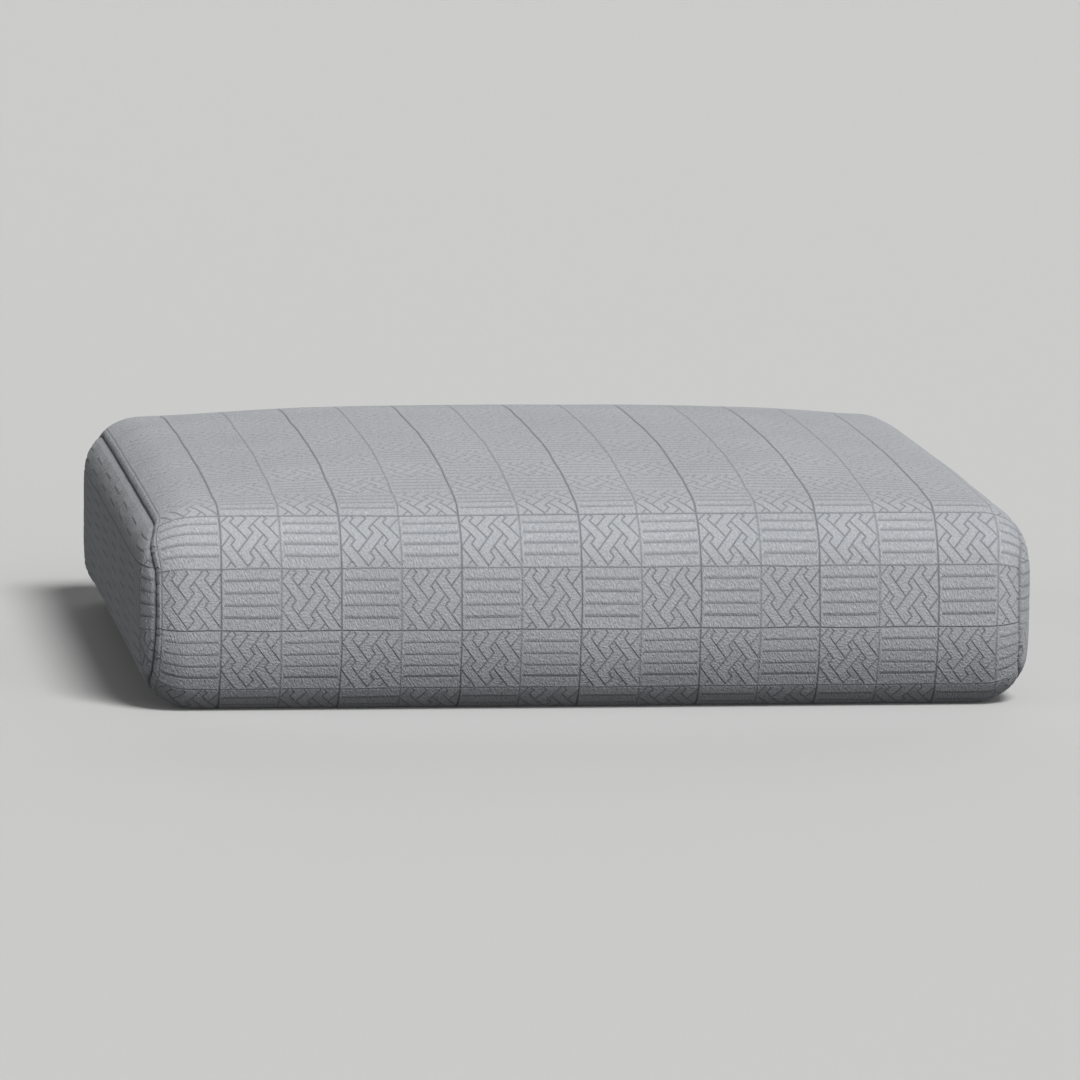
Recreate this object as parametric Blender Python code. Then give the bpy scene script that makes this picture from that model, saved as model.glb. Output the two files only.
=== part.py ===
"""Seat cushion in its fitted stretch cover, lying on its underside.

The cover is three cut pieces.  One wrap panel runs over the top, round the
nose, down the front face, under the cushion and up the back.  A set-in end
panel closes each end along a plain seam.  The filling fills the cover
completely and never shows, so the wrap panel is one filled solid and each
end panel is a thin bowed shell seated in a shallow rebate of it.

Frame: metres, +Z up, origin on the floor under the middle of the cushion,
+X towards the right end, -Y towards the front.
"""
import math

import bmesh
import bpy

# ---- driving dimensions (metres) -------------------------------------------
WIDTH = 0.750            # between the farthest points of the two end panels
DEPTH = 0.720            # between the farthest points of front and back
CROWN = 0.0256           # rise of the top's middle above its edges
CROWN_BACKSET = 0.400    # the crown's highest line, from the front face
CROWN_START = 0.035      # where the crown begins, from front and back faces
CROWN_HALF_WIDTH = 0.368  # where the crown meets the level of the top's edges
CROWN_POWER_ACROSS = 3.3  # how late the crown falls away towards the ends
CROWN_POWER_FRONT = 2.4  # and towards the front
CROWN_POWER_BACK = 4.0   # and towards the back
FACE_BULGE = 0.002       # how far the faces bow out in plan at mid-width

END_RADIUS_FACE = 0.041  # roundness of the front and back edges of each end
END_RADIUS_FLAT = 0.048  # roundness of its top and bottom edges
SEAM_TURN = 45.0         # how far round that edge the seam lies, in degrees
SEAM_TURN_CORNER = 9.0   # and how much farther at the four corners
PANEL_TURN = 80.0        # where an end panel's round edge meets its flatter middle
CLOTH = 0.0022           # thickness of the end panel's cloth with its backing
GAP = 0.0004             # clearance between pieces that touch

# One side of the cross-section, from the underside to the top: each arc turns
# the surface's outward normal from one elevation to the next, in degrees.
SIDE_ARCS = (
    # name,        radius, normal from, normal to, steps
    ("lower edge", 0.034, -90.0, -26.0, 6),
    ("belly",      0.130, -26.0,  -3.0, 3),
    ("face",       0.229,  -3.0,  10.0, 2),
    ("nose",       0.055,  10.0,  90.0, 8),
)
FLAT_STEPS = 5           # steps along the flat underside
TOP_STEPS = 15           # steps along the top

# Cross-sections of the wrap panel, from mid-width to where the edges round.
STATIONS = (0.0, 0.080, 0.150, 0.210, 0.260, 0.300, 0.326)
WRAP_TURNS = (0.25, 0.45, 0.62, 0.76, 0.89, 1.0)   # then shares of the turn to the seam
PANEL_TURNS = (0.3, 0.62, 1.0)                     # and from the seam to the middle

# The flatter middle of an end panel: drawn in from the cushion's full
# outline, and set back from the panel's farthest point.
PANEL_MIDDLE = (
    # drawn in, set back
    (0.0500, 0.0003),
    (0.0640, 0.0000),
)

CLOTH_COLOUR = (0.40, 0.42, 0.45, 1.0)
CLOTH_ROUGHNESS = 0.92


def side_outline():
    """Points (out, up, elevation of the normal) from underside to top."""
    out, up = 0.0, 0.0
    points = [(out, up, SIDE_ARCS[0][2])]
    for _name, radius, start, stop, steps in SIDE_ARCS:
        for step in range(steps):
            lower = start + (stop - start) * step / steps
            upper = start + (stop - start) * (step + 1) / steps
            a, b = math.radians(lower), math.radians(upper)
            out += radius * (math.cos(b) - math.cos(a))
            up += radius * (math.sin(b) - math.sin(a))
            points.append((out, up, upper))
    farthest = max(p[0] for p in points)
    return [(out - farthest, up, turn) for out, up, turn in points]


def straight_run(start, stop, steps):
    """Points between two points of the outline, ends left out."""
    return [tuple(a + (b - a) * i / steps for a, b in zip(start, stop))
            for i in range(1, steps)]


def section_outline():
    """Closed outline (y, z, elevation) of the section, without its crown."""
    side = side_outline()
    half = DEPTH / 2 - FACE_BULGE
    front = [(-half - out, up, turn) for out, up, turn in side]
    back = [(half + out, up, turn) for out, up, turn in reversed(side)]
    top = straight_run(front[-1], back[0], TOP_STEPS)
    under = straight_run(back[-1], front[0], FLAT_STEPS)
    return front + top + back + under


SECTION = section_outline()
EDGE_HEIGHT = max(z for _y, z, _turn in SECTION)
CORE_HEIGHT = EDGE_HEIGHT / 2
CORE_HALF = DEPTH / 2 - CORE_HEIGHT


def crown_across(x):
    """Share of the crown left at a place across the width."""
    return 1.0 - (min(abs(x), WIDTH / 2) / CROWN_HALF_WIDTH) ** CROWN_POWER_ACROSS


def crown_deep(y):
    """Share of the crown left at a place between the front and the back."""
    peak = -DEPTH / 2 + CROWN_BACKSET
    if y < peak:
        reach, power = CROWN_BACKSET - CROWN_START, CROWN_POWER_FRONT
    else:
        reach = DEPTH - CROWN_BACKSET - CROWN_START
        power = CROWN_POWER_BACK
    return 1.0 - min(1.0, abs(y - peak) / reach) ** power


def surface_point(index, x, inset):
    """Point of the cushion: an outline point drawn in towards the core."""
    y, z, _turn = SECTION[index]
    core_y = max(-CORE_HALF, min(CORE_HALF, y))
    to_core = math.hypot(core_y - y, CORE_HEIGHT - z)
    share = inset / to_core
    crown = 0.0
    if z > CORE_HEIGHT:
        crown = CROWN * crown_across(x) * crown_deep(y) * (1.0 - share)
    outward = 0.0
    if abs(y) > CORE_HALF:
        lean = math.copysign((abs(y) - CORE_HALF) / to_core, y)
        outward = FACE_BULGE * lean * (1.0 - (x / (WIDTH / 2)) ** 2)
    return (x,
            y + (core_y - y) * share + outward,
            z + (CORE_HEIGHT - z) * share + crown)


def round_edge(index, turn):
    """Place (drawn in, set back) on the rounded edge of an end."""
    level = math.sin(math.radians(SECTION[index][2])) ** 2
    radius = END_RADIUS_FACE + (END_RADIUS_FLAT - END_RADIUS_FACE) * level
    turn = math.radians(turn)
    return radius * (1.0 - math.cos(turn)), radius * (1.0 - math.sin(turn))


def seam_turn(index):
    """How far round the edge the seam lies at a point of the outline."""
    corner = math.sin(2.0 * math.radians(SECTION[index][2])) ** 2
    return SEAM_TURN + SEAM_TURN_CORNER * corner


def panel_line(index):
    """Outer line (drawn in, set back) of an end panel from its seam."""
    seam = seam_turn(index)
    turns = [seam] + [seam + (PANEL_TURN - seam) * t for t in PANEL_TURNS]
    return [round_edge(index, turn) for turn in turns] + list(PANEL_MIDDLE)


def moved_in(line, depth):
    """The same line moved into the cushion by a depth."""
    moved = []
    for i, (inset, backset) in enumerate(line):
        before, after = line[max(0, i - 1)], line[min(len(line) - 1, i + 1)]
        run, rise = after[0] - before[0], before[1] - after[1]
        size = math.hypot(run, rise)
        moved.append((inset + depth * rise / size, backset + depth * run / size))
    return moved


def started_late(line, distance):
    """The line with its start moved along its first step."""
    (inset, backset), (inset1, backset1) = line[0], line[1]
    share = distance / math.hypot(inset1 - inset, backset1 - backset)
    start = (inset + (inset1 - inset) * share,
             backset + (backset1 - backset) * share)
    return [start] + line[1:]


def loft(name, rings, material, collection):
    """One closed solid through rings of places (x, drawn in), ends flat."""
    bm = bmesh.new()
    column = bm.verts.layers.int.new("column")
    first = bmesh.ops.create_circle(bm, segments=len(SECTION), radius=1.0)
    ring = sorted(first["verts"], key=lambda v: math.atan2(v.co.y, v.co.x))
    for index, vert in enumerate(ring):
        vert[column] = index
        vert.co = surface_point(index, *rings[0][index])
    edges = list(bm.edges)
    bmesh.ops.edgeloop_fill(bm, edges=edges)
    for places in rings[1:]:
        grown = bmesh.ops.extrude_edge_only(bm, edges=edges)["geom"]
        for vert in (g for g in grown if isinstance(g, bmesh.types.BMVert)):
            vert.co = surface_point(vert[column], *places[vert[column]])
        edges = [g for g in grown if isinstance(g, bmesh.types.BMEdge)
                 and len(g.link_faces) == 1]
    bmesh.ops.edgeloop_fill(bm, edges=edges)
    bmesh.ops.recalc_face_normals(bm, faces=bm.faces)
    mesh = bpy.data.meshes.new(name)
    bm.to_mesh(mesh)
    bm.free()
    mesh.materials.append(material)
    mesh.shade_smooth()
    mesh.set_sharp_from_angle(angle=math.radians(40))
    obj = bpy.data.objects.new(name, mesh)
    collection.objects.link(obj)
    return obj


def cloth_material(name):
    """Matte cool-grey cloth."""
    material = bpy.data.materials.new(name)
    material.use_nodes = True
    shader = material.node_tree.nodes["Principled BSDF"]
    shader.inputs["Base Color"].default_value = CLOTH_COLOUR
    shader.inputs["Roughness"].default_value = CLOTH_ROUGHNESS
    shader.inputs["Metallic"].default_value = 0.0
    return material


def placed(line, side=1):
    """The places (x, drawn in) of a line's points at one end."""
    return [(side * (WIDTH / 2 - backset), inset) for inset, backset in line]


def wrap_rings():
    """Rings of the filled wrap panel from its left end to its right end."""
    lines = []
    for index in range(len(SECTION)):
        edge = [round_edge(index, seam_turn(index) * t) for t in WRAP_TURNS]
        rebate = moved_in(panel_line(index), CLOTH + GAP)
        half = [(x, 0.0) for x in STATIONS] + placed(edge + rebate)
        lines.append([(-x, inset) for x, inset in reversed(half[1:])] + half)
    return list(zip(*lines))


def panel_rings(side):
    """Rings of an end panel: out along its face, and back along its inside."""
    lines = []
    for index in range(len(SECTION)):
        outer = started_late(panel_line(index), GAP)
        inner = moved_in(outer, CLOTH)
        lines.append(placed(list(reversed(outer)) + inner, side))
    return list(zip(*lines))


def main():
    for obj in list(bpy.data.objects):
        bpy.data.objects.remove(obj, do_unlink=True)
    parts = bpy.data.collections.new("seat_cushion_cover")
    bpy.context.scene.collection.children.link(parts)
    loft("wrap_panel", wrap_rings(), cloth_material("wrap cloth"), parts)
    loft("end_panel_right", panel_rings(1), cloth_material("right end cloth"), parts)
    loft("end_panel_left", panel_rings(-1), cloth_material("left end cloth"), parts)


main()
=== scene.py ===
"""Seat cushion in its fitted cover of embossed stretch cloth: the finished look.

The cover has three cut pieces.  One wrap panel runs over the top, round the
nose, down the front, under the cushion and up the back.  A set-in end panel
closes each end along a plain seam.  Each piece starts as flat cloth with its
relief of squares, and is then laid on the form of the filled cushion.

Frame: metres, +Z up, origin on the floor under the middle of the cushion,
+X towards the right end, -Y towards the front.
"""
from __future__ import annotations

import logging
import math
import sys
from collections.abc import Callable, Iterable, Sequence
from dataclasses import dataclass
from enum import Enum
from functools import partial
from typing import Any

import bmesh
import bpy
from bmesh.types import BMEdge, BMesh, BMVert
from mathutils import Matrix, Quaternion, Vector, noise


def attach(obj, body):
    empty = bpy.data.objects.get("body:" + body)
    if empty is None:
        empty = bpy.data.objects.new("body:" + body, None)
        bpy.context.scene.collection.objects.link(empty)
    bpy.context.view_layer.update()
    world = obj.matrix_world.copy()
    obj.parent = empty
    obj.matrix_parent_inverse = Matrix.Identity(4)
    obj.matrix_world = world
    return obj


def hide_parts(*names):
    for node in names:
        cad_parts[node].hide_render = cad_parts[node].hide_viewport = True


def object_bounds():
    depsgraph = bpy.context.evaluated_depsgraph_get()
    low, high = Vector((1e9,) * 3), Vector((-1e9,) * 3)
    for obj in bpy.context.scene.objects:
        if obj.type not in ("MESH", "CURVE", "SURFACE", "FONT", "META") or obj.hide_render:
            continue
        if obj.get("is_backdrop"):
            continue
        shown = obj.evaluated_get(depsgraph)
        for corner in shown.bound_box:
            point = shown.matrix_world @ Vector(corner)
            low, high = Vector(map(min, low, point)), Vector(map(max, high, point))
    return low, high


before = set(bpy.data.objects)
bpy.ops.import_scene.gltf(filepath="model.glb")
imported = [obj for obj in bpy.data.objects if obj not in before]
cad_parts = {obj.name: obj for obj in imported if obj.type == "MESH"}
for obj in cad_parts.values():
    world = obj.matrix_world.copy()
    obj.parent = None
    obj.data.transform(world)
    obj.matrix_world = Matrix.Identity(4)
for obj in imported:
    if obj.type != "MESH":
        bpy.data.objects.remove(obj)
CAD_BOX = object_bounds()

LOG = logging.getLogger("seat_cushion_cover")
MM = 0.001
SAME_PLACE = 0.05 * MM  # cloth places closer together than this are one place
JOINED = 0.02 * MM  # squares' border vertices closer than this become one
ON_CUT = 0.01 * MM  # a vertex this close to a cut is on it
ON_BORDER = 0.001 * MM  # how exactly a square's border vertices lie on it
STRAIGHT = math.pi - 0.001  # a line bent less than this is straight
DIGITS = 6  # places on a square are compared to a micrometre
LOW_SHARE = 0.3  # a vertex is in a furrow from this share of the depth of full painted shade on

Place = Callable[[float, float], Vector]


class Motif(Enum):
    """What a square is embossed with: even squares, then odd ones."""

    LATTICE = 0
    RIBS = 1


class End(Enum):
    """An end of the cushion, by the direction in which it faces."""

    RIGHT = 1
    LEFT = -1


# The filled cushion's form


@dataclass(frozen=True)
class Bend:
    """One bend of the side's outline. Elevations of its normal in degrees."""

    radius: float
    start: float
    stop: float

    @property
    def length(self) -> float:
        """Length of the bend along the cloth, in metres."""
        return self.radius * math.radians(self.stop - self.start)


def round_over(radius: float, turn: float) -> tuple[float, float]:
    """How far in and how far back a place on a rounded edge lies."""
    return radius * (1.0 - math.cos(turn)), radius * (1.0 - math.sin(turn))


@dataclass
class CushionForm:
    """The form that the filling gives the cover.

    Cloth places are given as u, across the cushion from its middle, and s,
    round its section from where the front's lower edge leaves the floor.
    """

    width: float
    depth: float
    height: float
    lower_edge: Bend = Bend(0.034, -90.0, -26.0)
    belly: Bend = Bend(0.130, -26.0, -3.0)
    face: Bend = Bend(0.229, -3.0, 10.0)
    nose: Bend = Bend(0.055, 10.0, 90.0)
    crown_backset: float = 0.400
    crown_start: float = 0.035
    crown_half_width: float = 0.368
    crown_power_across: float = 3.3
    crown_power_front: float = 2.4
    crown_power_back: float = 4.0
    face_bulge: float = 0.002
    end_radius_face: float = 0.041
    end_radius_flat: float = 0.048
    seam_turn_side: float = 45.0
    seam_turn_corner: float = 9.0
    panel_turn: float = 80.0
    panel_shoulder: tuple[float, float] = (0.0500, 0.0003)
    panel_middle: float = 0.0640
    edge_start: float = 0.327
    seam_u: float = 0.3662
    outline_steps: int = 400
    halvings: int = 26

    def __post_init__(self) -> None:
        """Works out the lengths that the other methods share."""
        self.bends = (self.lower_edge, self.belly, self.face, self.nose)
        self.side = sum(bend.length for bend in self.bends)
        self.farthest = 0.0  # side_place() takes it off, so it starts at nothing
        steps = self.outline_steps
        self.farthest = max(
            self.side_place(self.side * i / steps)[0] for i in range(steps + 1)
        )
        top_out, self.edge_height, _ = self.side_place(self.side)
        foot_out = self.side_place(0.0)[0]
        self.half = self.depth / 2 - self.face_bulge
        self.top_half = self.half + top_out
        self.foot_half = self.half + foot_out
        self.top = 2 * self.top_half
        self.back = 2 * self.side + self.top
        self.loop = self.back + 2 * self.foot_half
        self.crown = self.height - self.edge_height
        self.core_height = self.edge_height / 2
        self.core_half = self.depth / 2 - self.core_height

    @classmethod
    def from_frame(cls) -> CushionForm:
        """The form that fills the CAD model's box."""
        low, high = CAD_BOX
        return cls(*(top - bottom for bottom, top in zip(low, high)))

    def side_place(self, run: float) -> tuple[float, float, float]:
        """A place on the side's outline.

        Args:
            run: Length along the outline from the floor, in metres.

        Returns:
            How far out and how high it is, and its normal's elevation.
        """
        out = up = 0.0
        turn = self.bends[0].start
        for bend in self.bends:
            part = min(run, bend.length)
            turn = bend.start + math.degrees(part / bend.radius)
            a, b = math.radians(bend.start), math.radians(turn)
            out += bend.radius * (math.cos(b) - math.cos(a))
            up += bend.radius * (math.sin(b) - math.sin(a))
            run -= part
            if run <= 0.0:
                break
        return out - self.farthest, up, turn

    def section(self, s: float) -> tuple[float, float, float]:
        """A place on the section's outline, without the crown.

        Args:
            s: Length round the section, in metres.

        Returns:
            Its y and z, and its normal's elevation in degrees.
        """
        s %= self.loop
        if s < self.side:
            out, up, turn = self.side_place(s)
            return -self.half - out, up, turn
        if s < self.side + self.top:
            return s - self.side - self.top_half, self.edge_height, 90.0
        if s < self.back:
            out, up, turn = self.side_place(self.back - s)
            return self.half + out, up, turn
        return self.foot_half - (s - 2 * self.side - self.top), 0.0, -90.0

    def crown_share(self, x: float, y: float) -> float:
        """Share of the crown's height at a place of the top.

        Args:
            x: Distance across from the middle.
            y: Distance back from the middle.

        Returns:
            The share, from 0 at the top's edges to 1 where it is highest.
        """
        across = min(abs(x), self.width / 2) / self.crown_half_width
        peak = self.crown_backset - self.depth / 2
        if y < peak:
            reach = self.crown_backset - self.crown_start
            power = self.crown_power_front
        else:
            reach = self.depth - self.crown_backset - self.crown_start
            power = self.crown_power_back
        deep = min(1.0, abs(y - peak) / reach)
        return (1.0 - across**self.crown_power_across) * (1.0 - deep**power)

    def to_core(self, s: float) -> float:
        """Distance from the outline at s to the cushion's core line."""
        core_y, y, z = self.core_place(s)
        return math.hypot(core_y - y, self.core_height - z)

    def core_place(self, s: float) -> tuple[float, float, float]:
        """The core line's y nearest to the outline at s, and the outline's y, z."""
        y, z, _ = self.section(s)
        return max(-self.core_half, min(self.core_half, y)), y, z

    def place(self, s: float, x: float, inset: float) -> Vector:
        """A place on the cushion.

        Args:
            s: Length round the section.
            x: Distance across from the middle.
            inset: How far it is drawn in from the outline to the core line.

        Returns:
            The place in the frame.
        """
        core_y, y, z = self.core_place(s)
        to_core = math.hypot(core_y - y, self.core_height - z)
        share = inset / to_core
        rise = 0.0
        if z > self.core_height:
            rise = self.crown * self.crown_share(x, y) * (1.0 - share)
        bulge = 0.0
        if abs(y) > self.core_half:
            lean = math.copysign((abs(y) - self.core_half) / to_core, y)
            bulge = self.face_bulge * lean * (1.0 - (2 * x / self.width) ** 2)
        return Vector(
            (
                x,
                y + (core_y - y) * share + bulge,
                z + (self.core_height - z) * share + rise,
            )
        )

    def edge_radius(self, s: float) -> float:
        """Works out how round the end's edge is.

        Args:
            s: Length round the section.

        Returns:
            The radius there.
        """
        flat = math.sin(math.radians(self.section(s)[2])) ** 2
        more = self.end_radius_flat - self.end_radius_face
        return self.end_radius_face + more * flat

    def seam_turn(self, s: float) -> float:
        """How far round the end's edge the seam lies at s, in radians."""
        corner = math.sin(2.0 * math.radians(self.section(s)[2])) ** 2
        return math.radians(self.seam_turn_side + self.seam_turn_corner * corner)

    def edge_place(self, s: float, side: int, turn: float, depth: float) -> Vector:
        """A place on or under the rounded edge of an end.

        Args:
            s: Length round the section.
            side: 1 at the right end, -1 at the left.
            turn: How far round the edge, in radians.
            depth: How far under the surface.

        Returns:
            The place in the frame.
        """
        radius = self.edge_radius(s)
        inset = radius - (radius - depth) * math.cos(turn)
        backset = radius - (radius - depth) * math.sin(turn)
        return self.place(s, side * (self.width / 2 - backset), inset)

    def wrap_place(self, u: float, s: float) -> Vector:
        """Lays a place of the wrap panel's cloth.

        Args:
            u: Distance across the cushion from its middle, along the cloth.
            s: Length round the section.

        Returns:
            The place in the frame.
        """
        reach = abs(u) - self.edge_start
        if reach <= 0.0:
            return self.place(s, u, 0.0)
        radius = self.edge_radius(s)
        level = self.width / 2 - radius - self.edge_start
        share = reach / (self.seam_u - self.edge_start)
        run = share * (level + radius * self.seam_turn(s))
        turn = max(0.0, run - level) / radius
        x = self.edge_start + min(run, level) + radius * math.sin(turn)
        return self.place(s, math.copysign(x, u), radius * (1.0 - math.cos(turn)))

    def panel_reach(self, s: float) -> float:
        """Length along an end panel from the core line to its seam at s."""
        return self.to_core(s) - self.panel_middle + sum(self.panel_runs(s))

    def panel_runs(self, s: float) -> tuple[float, float, float]:
        """Lengths of an end panel's line over its round edge and shoulder.

        Args:
            s: Length round the section.

        Returns:
            The length over the edge, to the shoulder, and on to the middle.
        """
        radius, last = self.edge_radius(s), math.radians(self.panel_turn)
        inset, backset = round_over(radius, last)
        shoulder, set_back = self.panel_shoulder
        return (
            radius * (last - self.seam_turn(s)),
            math.hypot(shoulder - inset, backset - set_back),
            math.hypot(self.panel_middle - shoulder, set_back),
        )

    def panel_line(self, s: float, run: float) -> tuple[float, float]:
        """How far an end panel is drawn in and set back.

        Args:
            s: Length round the section.
            run: Length along the panel from its seam.

        Returns:
            How far it is drawn in, and how far set back.
        """
        radius, last = self.edge_radius(s), math.radians(self.panel_turn)
        edge, shoulder, fall = self.panel_runs(s)
        if run < edge:
            return round_over(radius, self.seam_turn(s) + run / radius)
        middle = (self.panel_middle, 0.0)
        lines = (round_over(radius, last), self.panel_shoulder, middle)
        run -= edge
        for (inset, backset), (inset1, backset1), length in zip(
            lines, lines[1:], (shoulder, fall)
        ):
            if run < length:
                share = run / length
                return (
                    inset + (inset1 - inset) * share,
                    backset + (backset1 - backset) * share,
                )
            run -= length
        return self.panel_middle + run, 0.0

    def panel_polar(self, a: float, b: float) -> tuple[float, float]:
        """Turns a flat place of an end panel into s and its run.

        Args:
            a: Distance towards the back from the panel's middle.
            b: Distance up from the core line.

        Returns:
            s of the outline beyond it, and the length from the seam to it.
        """
        if abs(a) <= self.core_half:
            s = self.side + self.top_half + a
            if b < 0.0:
                s = self.back + self.foot_half - a
            return s, self.panel_reach(s) - abs(b)
        out = abs(a) - self.core_half
        wanted = math.atan2(b, out)
        low = self.core_half - self.foot_half
        high = self.side + self.top_half - self.core_half
        for _ in range(self.halvings):
            s = (low + high) / 2
            y, z, _turn = self.section(s)
            if math.atan2(z - self.core_height, -self.core_half - y) < wanted:
                low = s
            else:
                high = s
        s = (low + high) / 2
        if a > 0.0:
            s = self.back - s
        return s, self.panel_reach(s) - math.hypot(out, b)

    def panel_flat(self, s: float, run: float) -> tuple[float, float]:
        """Turns s and a run of an end panel into its flat place.

        Args:
            s: Length round the section.
            run: Length along the panel from its seam.

        Returns:
            The flat place, a and b, as panel_polar() takes it.
        """
        core_y, y, z = self.core_place(s)
        share = (self.panel_reach(s) - run) / self.to_core(s)
        return core_y + (y - core_y) * share, (z - self.core_height) * share

    def panel_place(self, side: int, a: float, b: float) -> Vector:
        """Lays a flat place of an end panel.

        Args:
            side: 1 at the right end, -1 at the left.
            a: Distance along the panel from its middle.
            b: Distance up from the core line.

        Returns:
            The place in the frame.
        """
        s, run = self.panel_polar(a * side, b)
        inset, backset = self.panel_line(s, run)
        return self.place(s, side * (self.width / 2 - backset), inset)


def facing(place: Place, a: float, b: float) -> Vector:
    """Outward direction of a laid surface.

    Args:
        place: What turns flat places into places in the frame.
        a: The flat place across.
        b: The flat place along.

    Returns:
        The surface's unit normal there.
    """
    step = 0.3 * MM
    across = place(a + step, b) - place(a - step, b)
    along = place(a, b + step) - place(a, b - step)
    return across.cross(along).normalized()


# The embossed cloth, flat


@dataclass(frozen=True)
class Furrow:
    """A furrow of the relief, between two raised parts."""

    half_width: float
    depth: float


@dataclass
class EmbossedCloth:
    """Flat embossed cloth: a chessboard of ribbed and latticed squares."""

    length: float
    width: float = 0.050
    strip_furrow: Furrow = Furrow(1.2 * MM, 0.8 * MM)
    line_furrow: Furrow = Furrow(1.45 * MM, 1.0 * MM)
    rib_furrow: Furrow = Furrow(1.35 * MM, 0.65 * MM)
    rib_shoulder: float = 3.1 * MM
    ribs: int = 5
    rib_start: float = 1.9 * MM
    rib_stop: float = 1.45 * MM
    rib_fade: float = 1.0 * MM
    # Relief of the lines between squares, every second one and the others.
    row_depths: tuple[float, float] = (1.1 * MM, 0.45 * MM)
    column_depths: tuple[float, float] = (0.55 * MM, 1.1 * MM)
    # The lattice's chart: slanting cuts between strips, in half strips.
    chart_repeat: tuple[int, int] = (16, 10)
    chart_start: tuple[int, float] = (5, 3.4)
    chart_span: tuple[float, float] = (29.0, 22.1)
    smallest: float = 10.0 * MM * MM
    mark_gap: float = 0.03 * MM
    # A furrow this deep gets the full painted shade.
    full_shade_depth: float = 0.9 * MM

    def chart(self) -> tuple[tuple[tuple[int, int], tuple[int, int]], ...]:
        """Charts the lattice's slanting cuts.

        Returns:
            Each cut's start and end.
        """
        return (
            ((0, 0), (8, 8)),
            ((-5, 1), (2, 8)),
            ((2, 8), (0, 10)),
            ((16, -4), (9, 3)),
            ((9, 3), (11, 5)),
            ((11, 5), (3, 13)),
        )

    def slants(self) -> dict[tuple[int, int], bool]:
        """Finds the cells of the chart that a cut crosses.

        Returns:
            For each such cell, by its column and row, whether the cut falls.
        """
        cells = {}
        across, down = self.chart_repeat
        for (x0, y0), (x1, y1) in self.chart():
            count = abs(x1 - x0)
            right, low = (x1 - x0) // count, (y1 - y0) // count
            for k in range(count):
                x, y = x0 + right * k, y0 + low * k
                cell = (min(x, x + right) % across, min(y, y + low) % down)
                cells[cell] = right == low
        return cells

    def lattice(self) -> BMesh:
        """One square of strips woven on the slant.

        Returns:
            The square from (0, 0) to its width and length, raised parts at
            no height and furrows at their depth below it.
        """
        cell_u = self.width / self.chart_span[0]
        cell_v = self.length / self.chart_span[1]
        left, above = self.chart_start
        first_i, last_i = -left - 1, math.ceil(self.chart_span[0]) - left + 1
        first_j = -math.ceil(above) - 1
        last_j = math.ceil(self.chart_span[1] - above) + 1
        bm = bmesh.new()
        bmesh.ops.create_grid(
            bm, x_segments=last_i - first_i, y_segments=last_j - first_j, size=0.5
        )
        for vert in bm.verts:
            i = first_i + (vert.co.x + 0.5) * (last_i - first_i)
            j = last_j - (vert.co.y + 0.5) * (last_j - first_j)
            vert.co = ((left + i) * cell_u, self.length - (above + j) * cell_v, 0.0)
        self.cut_slants(bm, cell_u, cell_v)
        self.trim(bm, (0.0, 0.0), (self.width, self.length))
        inner = [e for e in bm.edges if not e.seam and not e.is_boundary]
        bmesh.ops.dissolve_edges(bm, edges=inner, use_verts=False)
        self.drop_slivers(bm)
        self.drop_straight(bm)
        low = set(bm.verts)
        bmesh.ops.inset_individual(
            bm,
            faces=bm.faces[:],
            thickness=self.strip_furrow.half_width,
            use_even_offset=True,
        )
        for vert in low:
            vert.co.z = -self.strip_furrow.depth
        self.widen_lines(bm, low)
        return bm

    def widen_lines(self, bm: BMesh, low: set[BMVert]) -> None:
        """Makes the furrows round the square as wide as their own.

        Args:
            bm: The square.
            low: Its vertices at the bottom of a furrow.
        """
        wide = self.line_furrow.half_width
        for vert in bm.verts:
            if vert in low:
                continue
            for axis, size in ((0, self.width), (1, self.length)):
                for near, sign in ((0.0, 1), (size, -1)):
                    if (vert.co[axis] - near) * sign < wide:
                        vert.co[axis] = near + sign * wide

    def cut_slants(self, bm: BMesh, cell_u: float, cell_v: float) -> None:
        """Cuts the chart's cells along their slants, and marks the cuts.

        Args:
            bm: The chart's cells.
            cell_u: A cell's width.
            cell_v: A cell's length.
        """
        slants, (left, above) = self.slants(), self.chart_start
        across, down = self.chart_repeat
        for face in list(bm.faces):
            middle = face.calc_center_median()
            i = math.floor(middle.x / cell_u - left)
            j = math.floor((self.length - middle.y) / cell_v - above)
            falls = slants.get((i % across, j % down))
            if falls is None:
                continue
            corners = sorted(
                face.verts,
                key=lambda v: (round(v.co.x, DIGITS), round(v.co.y, DIGITS)),
            )
            pair = [corners[1], corners[2]] if falls else [corners[0], corners[3]]
            for edge in bmesh.ops.connect_vert_pair(bm, verts=pair)["edges"]:
                edge.seam = True

    def trim(
        self, bm: BMesh, low: tuple[float, float], high: tuple[float, float]
    ) -> None:
        """Cuts off what lies outside a rectangle.

        Args:
            bm: The flat cloth.
            low: The rectangle's lower left corner.
            high: Its upper right corner.
        """
        for axis in (0, 1):
            for at, sign in ((low, -1), (high, 1)):
                self.cut(bm, axis, at[axis], ON_CUT, sign)

    def cut(self, bm: BMesh, axis: int, at: float, reach: float, drop: int = 0) -> None:
        """Cuts cloth along one straight line.

        Args:
            bm: The flat cloth.
            axis: The axis that the line lies across.
            at: Where on that axis it lies.
            reach: How close to the line a vertex is on it.
            drop: The side to cut off, 1 or -1, or 0 to leave the cloth whole.
        """
        place, direction = Vector(), Vector()
        place[axis], direction[axis] = at, drop or 1
        bmesh.ops.bisect_plane(
            bm,
            geom=bm.verts[:] + bm.edges[:] + bm.faces[:],
            dist=reach,
            plane_co=place,
            plane_no=direction,
            clear_outer=drop != 0,
        )

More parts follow.
